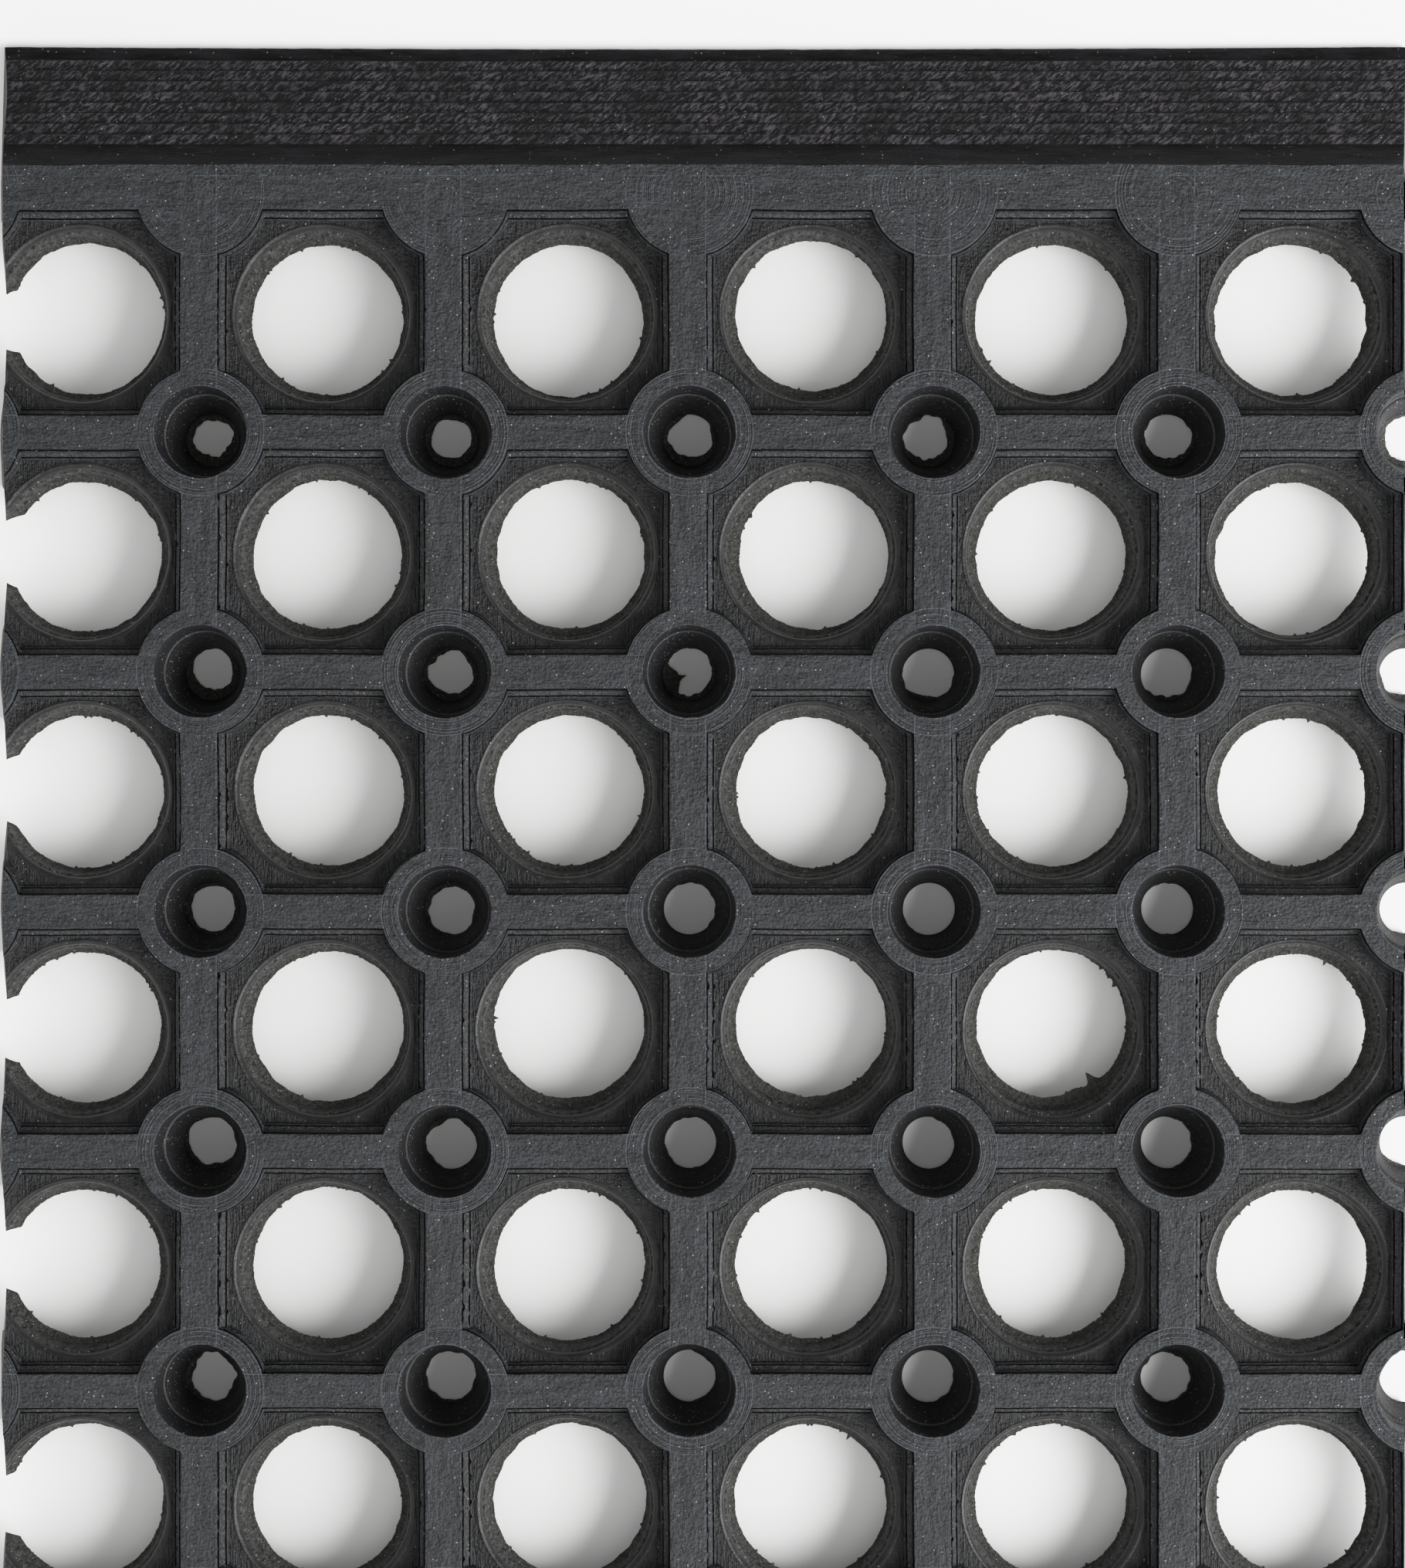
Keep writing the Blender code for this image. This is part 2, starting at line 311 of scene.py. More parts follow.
def cell_points(loops, row, column):
    """Where every point of one cell lies: an array of loops by stations."""
    points = np.array([[(x, y, height) for x, y in outline] for outline, height, _ in loops])
    opening = torn_opening(row, column)
    turn = np.arange(STATIONS) / STATIONS * 2 * pi
    around = np.stack([np.cos(turn), np.sin(turn)], axis=1)
    points[FLASH_LOWER, :, :2] = around * opening[:, None]
    points[FLASH_UPPER, :, :2] = around * (opening[:, None] - FLASH_BEVEL)
    points[FLASH_BACK, :, :2] = around * (opening + FLASH_MIDDLE * (FLASH_ROOT_R - opening))[:, None]
    random = Random(f"wall {row} {column}")
    points[FLASH_UPPER, :, 2] += smooth_ring(random, STATIONS, range(3, 20), 0.12)
    points[FLASH_BACK, :, 2] += smooth_ring(random, STATIONS, range(3, 30), 0.10)
    for number in range(WALL_FIRST, WALL_LAST):
        beaded = smooth_ring(random, STATIONS, range(20, 80), EDGE_BEADING)
        length = np.linalg.norm(points[number, :, :2], axis=1)
        points[number, :, :2] *= (1 + beaded / length)[:, None]
    for number in range(BEAD_LAST + 1, WALL_LAST):
        beside_rib = abs(points[number, :, 0]) > abs(points[number, :, 0]).max() - 0.1
        points[number, beside_rib, 0] += RIB_DRIFT
    points[FLASH_BACK + 1:BEAD_LAST + 1, :, :2] += (random.uniform(-0.5, 0.0), random.uniform(-0.25, 0.25))
    if column == 0:
        end, away = radians(TORN_END + random.uniform(-3, 3)), radians(TORN_AWAY)
        from_left = np.arccos(np.clip(-np.cos(turn - random.uniform(-0.08, 0.08)), -1, 1))
        torn = np.clip((end - from_left) / (end - away), 0, 1)
        for number in range(1, BEAD_LAST + 1):
            radius = np.linalg.norm(points[number, :, :2], axis=1)
            points[number, :, :2] *= (1 + torn * (TORN_TO_R - radius) / radius)[:, None]
    return points


def lay_half(half, loops, row, column, x, y):
    """A copy of a half cell at its place in the lattice."""
    copy = half.copy()
    copy.data = half.data.copy()
    bpy.context.scene.collection.objects.link(copy)
    mesh = copy.data
    loop = np.zeros(len(mesh.vertices), np.int32)
    station = np.zeros(len(mesh.vertices), np.int32)
    mesh.attributes["loop"].data.foreach_get("value", loop)
    mesh.attributes["station"].data.foreach_get("value", station)
    points = cell_points(loops, row, column)[loop, station] + (x, y, 0)
    mesh.vertices.foreach_set("co", points.ravel())
    mesh.update()
    return copy


def joined(name, pieces):
    if bpy.context.mode != "OBJECT":
        bpy.ops.object.mode_set(mode="OBJECT")
    bpy.ops.object.select_all(action="DESELECT")
    for piece in pieces:
        piece.select_set(True)
    bpy.context.view_layer.objects.active = pieces[0]
    bpy.ops.object.join()
    whole = bpy.context.object
    whole.name = name
    in_edit_mode(whole)
    bpy.ops.mesh.select_all(action="SELECT")
    bpy.ops.mesh.remove_doubles(threshold=0.005)
    bpy.ops.object.mode_set(mode="OBJECT")
    return whole


def select_rims(obj, wanted):
    """Selects the open edges whose two ends are both wanted."""
    bm = in_edit_mode(obj)
    bpy.ops.mesh.select_mode(type="EDGE")
    for edge in bm.edges:
        if edge.is_boundary and wanted(edge.verts[0].co) and wanted(edge.verts[1].co):
            edge.select_set(True)
    bmesh.update_edit_mesh(obj.data)


def nearest_ring(co, row_y):
    column = round((co.x - FIRST_RING_X) / PITCH_X)
    return Vector((FIRST_RING_X + column * PITCH_X, row_y, 0)), column


# A ring's hollow from its mouth down, its drain, its foot, and back up to the web: radius and height.
CUP_LOOPS = [
    (13.5, 22.0, "face"), (13.25, 21.9, "face"), (13.1, 21.6, "cup"), (12.75, 18.0, "cup"),
    (12.2, 12.5, "cup"), (11.8, 12.05, "cup"), (11.3, 12.0, "cup"), (10.9, 11.5, "cup"),
    (9.6, 7.5, "cup"), (8.3, 3.5, "cup"), (7.6, 2.0, "cup"), ("drain", 1.2, "torn"), ("drain", 0.7, "torn"),
    (9.0, 0.3, "underside"), (10.5, 0.0, "underside"), (15.0, 0.0, "underside"), (15.5, 0.5, "underside"),
    (16.8, 4.2, "underside"), (18.0, 7.6, "underside"), (RING_R, WEB_BOTTOM, "underside"),
]
RING_STATIONS = 4 * THIRD
FIRST_CUP_LOOP = 100
# The one drain whose skin was only half torn out, with the skin's middle in degrees, and the one cup with
# a notch torn in its mouth, with how far round it is.
UNTORN_DRAIN, SKIN_AT = (1, 2), 196
NOTCHED_CUP, NOTCH_AT = (1, 3), 0.64
SMALLEST_DRAIN, LARGEST_DRAIN = 3.8, 8.6


def drain_opening(row, column):
    """The drain in a ring's foot at each station: torn open, and larger towards the right of the mat."""
    random = Random(f"drain {row} {column}")
    turn = np.arange(RING_STATIONS) / RING_STATIONS * 2 * pi
    radius = 5.2 + 0.5 * min(column, 3) + 0.9 * min(row, 2) - (0.25 * column if row > 1 else 0)
    radius += random.uniform(-0.5, 0.5) + random.uniform(-0.6, 0.6) * np.cos(turn)
    radius += (random.uniform(-0.6, 0.6) + (1.0 if row < 2 else 0)) * np.sin(turn)
    radius += smooth_ring(random, RING_STATIONS, range(2, 5), 0.3)
    radius += smooth_ring(random, RING_STATIONS, range(5, 14), 0.17)
    radius += np.array([random.gauss(0, 0.05) for _ in range(RING_STATIONS)])
    radius = np.clip(radius, SMALLEST_DRAIN, LARGEST_DRAIN)
    if (row, column) == UNTORN_DRAIN:
        skin = np.exp(-((degrees_from(turn, SKIN_AT) / 34) ** 4)) * (0.82 + 0.18 * np.cos(turn * 9))
        radius -= (radius - 0.8) * skin
    return radius


def torn_mouth(row, column):
    """How far a cup's mouth stands out at each station."""
    mouth = smooth_ring(Random(f"mouth {row} {column}"), RING_STATIONS, range(4, 30), 0.07)
    if (row, column) == NOTCHED_CUP:
        notch = round(NOTCH_AT * RING_STATIONS)
        mouth[notch] += 1.3
        mouth[notch + 1] += 0.8
    return mouth


def hollow_rings(obj, row, row_y):
    """Extrudes every ring's mouth down through its cup and round its foot to the web."""
    def at_mouth(co):
        middle, _ = nearest_ring(co, row_y)
        return co.z > TOP - 0.01 and hypot(co.x - middle.x, co.y - middle.y) < MOUTH_R + 0.5

    select_rims(obj, at_mouth)
    drains, mouths = {}, {}
    for number, (radius, height, _) in enumerate(CUP_LOOPS):
        def place(vert):
            middle, column = nearest_ring(vert.co, row_y)
            turn = atan2(vert.co.y - middle.y, vert.co.x - middle.x)
            station = round(turn / (2 * pi) * RING_STATIONS) % RING_STATIONS
            if column not in drains:
                drains[column], mouths[column] = drain_opening(row, column), torn_mouth(row, column)
            distance = drains[column][station] if radius == "drain" else radius
            if 0 < number < 3:
                distance += mouths[column][station]
            return middle + Vector((distance * cos(turn), distance * sin(turn), height))

        bpy.ops.mesh.extrude_region()
        selected_placed(obj, FIRST_CUP_LOOP + number, place)
    bm = bmesh.from_edit_mesh(obj.data)
    loop = bm.verts.layers.int["loop"]
    for face in bm.faces:
        number = max(vert[loop] for vert in face.verts) - FIRST_CUP_LOOP
        if number >= 0:
            face.material_index = FINISHES.index(CUP_LOOPS[number][2])
    bmesh.update_edit_mesh(obj.data)
    bpy.ops.mesh.select_all(action="SELECT")
    bpy.ops.mesh.remove_doubles(threshold=0.005)


def waved(obj):
    """The slack of a rubber sheet: slow waves in its ribs, a tenth of a millimetre or two."""
    mesh = obj.data
    points = np.zeros(len(mesh.vertices) * 3)
    mesh.vertices.foreach_get("co", points)
    points = points.reshape(-1, 3)
    x, y, z = points.T
    points[:, 0] += 0.10 * np.sin(y / 17 + 0.7) + 0.07 * np.sin(y / 6.1 + x / 41)
    points[:, 1] += 0.10 * np.sin(x / 19 + 2.1) + 0.07 * np.sin(x / 5.7 + y / 37)
    high = np.clip((z - WEB_BOTTOM) / (TOP - WEB_BOTTOM), 0, 1)
    points[:, 2] -= high * (0.08 + 0.05 * np.sin(x / 23 + y / 31) + 0.03 * np.sin(x / 7.3 - y / 9.1))
    mesh.vertices.foreach_set("co", points.ravel())
    mesh.update()


# How far in from a cut the rubber is moved for the knife's drift, how far it drifted from each side on
# average, and how much more beside the holes on the left, where the rubber gave way.
DRIFT_REACH = 16.0
KNIFE_DRIFT = {-1: 0.55, 1: 0.12}
HOLE_DRIFT = 0.85


def drifted(obj, edge_x, outward, back):
    """Moves the rubber beside a cut by the knife's drift, or back to where it was moulded."""
    points = np.zeros(len(obj.data.vertices) * 3)
    obj.data.vertices.foreach_get("co", points)
    points = points.reshape(-1, 3)
    near = (points[:, 0] - edge_x) * outward > -DRIFT_REACH
    x, y, z = points[near].T
    waver = np.array([noise.noise(Vector((0, at_y / 16, at_z / 30 + outward))) for at_y, at_z in zip(y, z)])
    drift = KNIFE_DRIFT[outward] * (1 + waver)
    if outward < 0:
        drift += HOLE_DRIFT * (1 + np.cos(2 * pi * (y / PITCH_Y - 0.5))) * np.clip((TOP + 3 - z) / 8, 0, 1)
    away = x
    # the way back has no formula, so it is closed in on in a few steps
    for _ in range(12 if back else 1):
        share = np.clip(1 + (away - edge_x) * outward / DRIFT_REACH, 0, 1)
        share = share * share * (3 - 2 * share)
        away = x + (-1 if back else 1) * outward * drift * share
    points[near, 0] = away
    obj.data.vertices.foreach_set("co", points.ravel())
    obj.data.update()


def knife_cut(obj):
    """Cuts the mat to its width and closes the cut faces, which lean out towards the floor."""
    for edge_x, outward in ((LEFT, -1), (RIGHT, 1)):
        on_cut = Vector((edge_x, 0, TOP))
        normal = Vector((outward * TOP, 0, CUT_LEAN)).normalized()

        def at_cut(co):
            return abs((co - on_cut).dot(normal)) < 0.002

        drifted(obj, edge_x, outward, back=False)
        in_edit_mode(obj)
        bpy.ops.mesh.select_all(action="SELECT")
        bpy.ops.mesh.bisect(plane_co=on_cut, plane_no=normal, clear_outer=True, threshold=0.0005)
        select_rims(obj, at_cut)
        bpy.ops.mesh.fill_holes(sides=0)
        bm = bmesh.from_edit_mesh(obj.data)
        for face in bm.faces:
            if all(at_cut(vert.co) for vert in face.verts):
                face.material_index = FINISHES.index("knife_cut")
        bmesh.update_edit_mesh(obj.data)
        bpy.ops.object.mode_set(mode="OBJECT")
        drifted(obj, edge_x, outward, back=True)


def finished(obj, node):
    """Normals out, smooth where it is moulded smooth, and from millimetres to metres."""
    in_edit_mode(obj)
    bpy.ops.mesh.select_all(action="SELECT")
    bpy.ops.mesh.normals_make_consistent(inside=False)
    bpy.ops.object.mode_set(mode="OBJECT")
    for name in ("loop", "station"):
        if name in obj.data.attributes:
            obj.data.attributes.remove(obj.data.attributes[name])
    obj.scale = (MM, MM, MM)
    bpy.ops.object.transform_apply(location=False, rotation=False, scale=True)
    bpy.ops.object.shade_smooth_by_angle(angle=radians(38))
    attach(obj, "root")
    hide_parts(node)


# --------------------------------------------------------------------------------------- ring rows
# Five rows of hollow ring feet. Each is modelled from the lower halves of the cells above it and the upper
# halves of the cells below, merged where they meet, so every ring in it is whole.
ring_cell = model_cell("ring_cell", RING_CELL)
ring_halves = {side: half_of(ring_cell, side) for side in (1, -1)}
HOLE_COLUMNS = range(-1, 7)
HOLE_XS = {column: FIRST_RING_X + (column - 0.5) * PITCH_X for column in HOLE_COLUMNS}
SEAM_REACH = RIGHT + PITCH_X * 0.7


def close_seams(obj, seam_ys):
    """Closes the cut across each rib where this length of the mat meets the next one."""
    for seam_y in seam_ys:
        select_rims(obj, lambda co: abs(co.y - seam_y) < 0.002 and abs(co.x) < SEAM_REACH)
        bpy.ops.mesh.fill_holes(sides=0)


for row in range(5):
    ring_y = middle_y(f"ring_row_{row + 1}")
    halves = []
    for column in HOLE_COLUMNS:
        x = HOLE_XS[column]
        halves.append(lay_half(ring_halves[-1], RING_CELL, row, column, x, ring_y + PITCH_Y / 2))
        halves.append(lay_half(ring_halves[1], RING_CELL, row + 1, column, x, ring_y - PITCH_Y / 2))
    ring_row = joined(f"moulded_ring_row_{row + 1}", halves)
    hollow_rings(ring_row, row, ring_y)
    close_seams(ring_row, (ring_y + PITCH_Y / 2, ring_y - PITCH_Y / 2))
    bpy.ops.object.mode_set(mode="OBJECT")
    waved(ring_row)
    knife_cut(ring_row)
    finished(ring_row, f"ring_row_{row + 1}")

# ----------------------------------------------------------------------------------------- borders
# The first half row of cells and the flat band beyond it, which is solid down to the floor. The rings here
# are only flat lands: they have no cup.
SEAM, SOLID_BAND = 0.15, 12.7
BAND_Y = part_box("front_border")[1].y / MM + SEAM
HOLE_TO_RAMP = BAND_Y - middle_y("ring_row_1") - PITCH_Y / 2
WALL_Y = HOLE_TO_RAMP - SOLID_BAND
BORDER_CELL = (
    [(rectangle(PITCH_X / 2, WALL_Y), WEB_BOTTOM, "underside")]
    + HOLE_LOOPS
    + [(rectangle(PITCH_X / 2, HOLE_TO_RAMP), TOP, "face")]
)
border_cell = model_cell("border_cell", BORDER_CELL)
for node, side, row, ring_row in (("front_border", 1, 0, "ring_row_1"), ("rear_border", -1, 5, "ring_row_5")):
    hole_y = middle_y(ring_row) + side * PITCH_Y / 2
    half = half_of(border_cell, side)
    halves = [lay_half(half, BORDER_CELL, row, column, HOLE_XS[column], hole_y) for column in HOLE_COLUMNS]
    bpy.data.objects.remove(half)
    border = joined(f"moulded_{node}", halves)
    wall_y, ramp_y = hole_y + side * WALL_Y, hole_y + side * HOLE_TO_RAMP
    select_rims(border, lambda co: co.z < WEB_BOTTOM + 0.01 and abs(co.y - wall_y) < 0.01)
    for y, height in ((wall_y + side * 0.7, 0.7), (wall_y + side * 1.4, 0.0), (ramp_y, 0.0)):
        bpy.ops.mesh.extrude_region()
        selected_placed(border, 0, lambda vert: Vector((vert.co.x, y, height)))
    select_rims(border, lambda co: co.z > TOP - 0.01 and abs(co.y - ramp_y) < 0.01)
    bpy.ops.mesh.extrude_region()
    selected_placed(border, 0, lambda vert: Vector((vert.co.x, ramp_y, 0)))
    bpy.ops.mesh.select_all(action="SELECT")
    bpy.ops.mesh.remove_doubles(threshold=0.005)
    close_seams(border, (hole_y,))
    bpy.ops.object.mode_set(mode="OBJECT")
    waved(border)
    knife_cut(border)
    finished(border, node)

for helper in (ring_cell, border_cell, *ring_halves.values()):
    bpy.data.objects.remove(helper)

# ------------------------------------------------------------------------------------------- ramps
# The stepped slope along the front and rear edges: a smooth lip, eight narrow treads that grip a sole, and
# a smooth slope up to the band. It was moulded as one with the border.
RAMP_LENGTH, RAMP_LIP, TOP_SLOPE = 39.2, 4.7, 6.8
TREADS, FIRST_TREAD, LAST_TREAD, RISER = 8, 4.5, 15.0, 0.55
TREAD_PITCH = (RAMP_LENGTH - RAMP_LIP - TOP_SLOPE) / TREADS
# the ramp is modelled this much past each side, and then cut with the knife
PAST_CUT = 2


def ramp_profile():
    """Distance in from the outer edge, and height, once round the ramp's end face."""
    points = [(0.5, 0.0), (0.1, 0.15), (0.0, 0.5), (0.05, 1.7), (0.3, 2.1), (2.1, 2.9), (RAMP_LIP - 0.5, 3.6)]
    for tread in range(TREADS):
        start = RAMP_LIP + tread * TREAD_PITCH
        height = FIRST_TREAD + tread * (LAST_TREAD - FIRST_TREAD) / (TREADS - 1)
        points += [
            (start - RISER, height - 1.0), (start - 0.1, height - 0.12), (start + 0.1, height),
            (start + 0.9, height + 0.1), (start + 2.1, height + 0.25),
            (start + TREAD_PITCH - RISER - 0.1, height + 0.42),
        ]
    return points + [
        (RAMP_LENGTH - TOP_SLOPE + 0.2, LAST_TREAD + 1.0), (RAMP_LENGTH - 3.6, 18.2),
        (RAMP_LENGTH - 0.9, 20.9), (RAMP_LENGTH - 0.35, 21.55), (RAMP_LENGTH - 0.1, 21.85),
        (RAMP_LENGTH, 21.9), (RAMP_LENGTH, 0.0),
    ]


def cut_across(obj, cuts):
    """Cuts every edge that runs along the ramp into equal lengths."""
    bm = bmesh.from_edit_mesh(obj.data)
    for edge in bm.edges:
        edge.select_set(abs(edge.verts[0].co.x - edge.verts[1].co.x) > 1)
    bmesh.update_edit_mesh(obj.data)
    bpy.ops.mesh.subdivide(number_cuts=cuts)


def ramp_finish(middle, inward):
    """The finish of a face, by its middle and how far in from the ramp's outer edge it lies."""
    if middle.z < 0.3:
        return "underside"
    if not RAMP_LIP - 0.1 < inward < RAMP_LENGTH - TOP_SLOPE - RISER:
        return "shaded_ramp_slope"
    # the risers take the same dark finish: a painted shadow line along each riser
    return "shaded_ramp_slope" if (inward - RAMP_LIP) % TREAD_PITCH > TREAD_PITCH - RISER else "ramp"


for node, side in (("front_ramp", 1), ("rear_ramp", -1)):
    profile = ramp_profile()
    outer_y = side * cad_box[1][1] / MM
    bpy.ops.object.select_all(action="DESELECT")
    bpy.ops.mesh.primitive_circle_add(vertices=len(profile), radius=10, fill_type="NGON")
    ramp = bpy.context.object
    ramp.name = f"moulded_{node}"
    for finish in FINISHES:
        ramp.data.materials.append(FINISH_MATERIALS[finish])
    for vert, (inward, height) in zip(ramp.data.vertices, profile):
        vert.co = (LEFT - CUT_LEAN - PAST_CUT, outer_y - side * inward, height)
    in_edit_mode(ramp)
    bpy.ops.mesh.select_all(action="SELECT")
    bpy.ops.mesh.extrude_region()
    bpy.ops.transform.translate(value=(RIGHT - LEFT + 2 * CUT_LEAN + 2 * PAST_CUT, 0, 0))
    bpy.ops.mesh.select_mode(type="EDGE")
    bpy.ops.mesh.select_all(action="DESELECT")
    cut_across(ramp, 99)
    cut_across(ramp, 3)
    bm = bmesh.from_edit_mesh(ramp.data)
    for face in bm.faces:
        middle = face.calc_center_median()
        face.material_index = FINISHES.index(ramp_finish(middle, (outer_y - middle.y) * side))
    for vert in bm.verts:
        x, z = vert.co.x, vert.co.z
        inward = (outer_y - vert.co.y) * side
        # the lip's edge bows in towards its ends, and every edge ripples a little
        bow = 0.7 * (1 - (x / RIGHT) ** 2) * max(0, 1 - inward / 12)
        ripple = 0.12 * noise.noise(Vector((x / 9, z * 0.7, side)))
        ripple += 0.08 * noise.noise(Vector((x / 2.2, z, side)))
        inside = 0 < inward < RAMP_LENGTH - 0.01 and z > 0.3
        vert.co.y -= side * (max(bow, 0) + (ripple + 0.08 if inside else 0))
        if inside:
            vert.co.z += 0.10 * noise.noise(Vector((x / 5, inward / 3, 3 + side)))
    bmesh.update_edit_mesh(ramp.data)
    bpy.ops.object.mode_set(mode="OBJECT")
    knife_cut(ramp)
    finished(ramp, node)

# --------------------------------------------------------------------------------- rubber finishes
# One black natural-rubber compound, filled with carbon black. Its finishes differ by how each surface was
# made: pressed against the mould, torn at the flash, or cut with a knife. All heights are in millimetres.
def linear(hex_colour):
    """An sRGB hex colour as a linear RGBA tuple."""
    values = [int(hex_colour[i:i + 2], 16) / 255 for i in (1, 3, 5)]
    return (*[v / 12.92 if v <= 0.04045 else ((v + 0.055) / 1.055) ** 2.4 for v in values], 1.0)


def add(tree, kind, inputs=None, output=0, **settings):
    """Adds one node, with its settings and its inputs' values or links."""
    node = tree.nodes.new(kind)
    for name, value in settings.items():
        setattr(node, name, value)
    for key, value in (inputs or {}).items():
        if isinstance(value, bpy.types.NodeSocket):
            tree.links.new(value, node.inputs[key])
        else:
            node.inputs[key].default_value = value
    return node.outputs[output]


# the pale colour of the specks, used both for dust and for painted glints and highlights
RUBBER_IOR, DUST_AND_HIGHLIGHT = 1.45, "#a09f9b"


def start_rubber(finish, roughness, gloss=0.5):
    """A finish's tree, its shader, and places on the mat in millimetres."""
    material = FINISH_MATERIALS[finish]
    material.use_nodes = True
    tree = material.node_tree
    shader = tree.nodes["Principled BSDF"]
    shader.inputs["Roughness"].default_value = roughness
    shader.inputs["IOR"].default_value = RUBBER_IOR
    shader.inputs["Specular IOR Level"].default_value = gloss
    place = add(tree, "ShaderNodeTexCoord", output="Object")
    place = add(tree, "ShaderNodeVectorMath", {0: place, "Scale": 1 / MM}, operation="SCALE")
    return tree, shader, place


def finish_rubber(tree, shader, height, shade, dark, light, dust):
    """Sets the relief, and the colour: from dark to light rubber by shade, and pale specks over it, which
    stand for dust and also for painted glints and painted highlights.
    """
    relief = add(tree, "ShaderNodeBump", {"Height": height, "Strength": 1.0, "Distance": MM})
    tree.links.new(relief, shader.inputs["Normal"])
    rubber = add(
        tree, "ShaderNodeMix", {0: shade, 6: linear(dark), 7: linear(light)}, output=2, data_type="RGBA"
    )
    dusted = add(tree, "ShaderNodeMix", {0: dust, 6: rubber, 7: linear(DUST_AND_HIGHLIGHT)}, output=2, data_type="RGBA")
    tree.links.new(dusted, shader.inputs["Base Color"])


def dust_specks(tree, place, spacing, share):
    """Pale specks 0.15 to 0.45 mm across, one in a share of the cells of a given spacing: lint and dust, and
    also painted glints that stand for the sparkle of light on the grain.
    """
    specks = add(tree, "ShaderNodeTexVoronoi", {"Vector": place, "Scale": 1 / spacing}).node.outputs
    chance = add(tree, "ShaderNodeSeparateColor", {0: specks["Color"]}).node.outputs
    size = {0: chance[0], 1: 0.15 / spacing, 2: 0.08 / spacing}
    size = add(tree, "ShaderNodeMath", size, operation="MULTIPLY_ADD")
    inside = add(tree, "ShaderNodeMath", {0: specks["Distance"], 1: size}, operation="LESS_THAN")
    chosen = add(tree, "ShaderNodeMath", {0: chance[1], 1: share}, operation="LESS_THAN")
    pale = add(tree, "ShaderNodeMath", {0: chance[2], 1: 0.75}, operation="MULTIPLY")
    both = add(tree, "ShaderNodeMath", {0: inside, 1: chosen}, operation="MULTIPLY")
    return add(tree, "ShaderNodeMath", {0: both, 1: pale}, operation="MULTIPLY")


def grain(tree, place, size, depth, detail=3.0):
    """An uneven relief of a given size and depth, about its middle height."""
    field = {"Vector": place, "Scale": 1 / size, "Detail": detail, "Roughness": 0.6}
    field = add(tree, "ShaderNodeTexNoise", field)
    return add(tree, "ShaderNodeMapRange", {
        "Value": field, "From Min": 0.25, "From Max": 0.75, "To Min": -depth / 2, "To Max": depth / 2,
    })


def sum_of(tree, *heights):
    total = heights[0]
    for height in heights[1:]:
        total = add(tree, "ShaderNodeMath", {0: total, 1: height}, operation="ADD")
    return total


# Tread faces: the tops of the ribs, rings and band. The mould was turned round each ring, which left rings
# of fine tool marks, and milled along the ribs, which left streaks. The rubber between is pebbled: the real
# pebbles are about 0.4 mm across, and 0.8 mm here, because anything finer is lost at this distance.
tree, shader, place = start_rubber("face", 0.56, 0.4)
parts = add(tree, "ShaderNodeSeparateXYZ", {0: place}).node.outputs
from_ring = add(tree, "ShaderNodeMath", {0: parts["X"], 1: FIRST_RING_X}, operation="SUBTRACT")
ring_dx = add(tree, "ShaderNodeMath", {0: from_ring, 1: PITCH_X / 2, 2: -PITCH_X / 2}, operation="WRAP")
ring_dy = add(tree, "ShaderNodeMath", {0: parts["Y"], 1: PITCH_Y / 2, 2: -PITCH_Y / 2}, operation="WRAP")
to_ring = add(tree, "ShaderNodeCombineXYZ", {"X": ring_dx, "Y": ring_dy})
distance = add(tree, "ShaderNodeVectorMath", {0: to_ring}, output="Value", operation="LENGTH")
which_ring = add(tree, "ShaderNodeVectorMath", {0: place, 1: to_ring}, operation="SUBTRACT")
# each ring has marks of its own: its place, made one number, shifts where their pattern starts
ring_key = {0: which_ring, 1: (0.71, 0.37, 0)}
ring_key = add(tree, "ShaderNodeVectorMath", ring_key, output="Value", operation="DOT_PRODUCT")
along = add(tree, "ShaderNodeMath", {0: distance, 1: ring_key}, operation="ADD")
TOOL_MARK = 0.45
turned = {"W": along, "Scale": 1 / TOOL_MARK, "Detail": 1.5}
turned = add(tree, "ShaderNodeTexNoise", turned, noise_dimensions="1D")
turned = add(tree, "ShaderNodeMapRange", {
    "Value": turned, "From Min": 0.42, "From Max": 0.66, "To Min": -0.08, "To Max": 0.14,
})
# the marks show only in patches, some 15 mm across, where the mould was new
patches = add(tree, "ShaderNodeTexNoise", {"Vector": place, "Scale": 1 / 15.0, "Detail": 1.0})
patches = {"Value": patches, "From Min": 0.42, "From Max": 0.6, "To Min": 0.12}
patches = add(tree, "ShaderNodeMapRange", patches)
on_disc = add(tree, "ShaderNodeMath", {0: distance, 1: RING_R + 0.1}, operation="LESS_THAN")
turned = add(tree, "ShaderNodeMath", {0: turned, 1: on_disc}, operation="MULTIPLY")
turned = add(tree, "ShaderNodeMath", {0: turned, 1: patches}, operation="MULTIPLY")
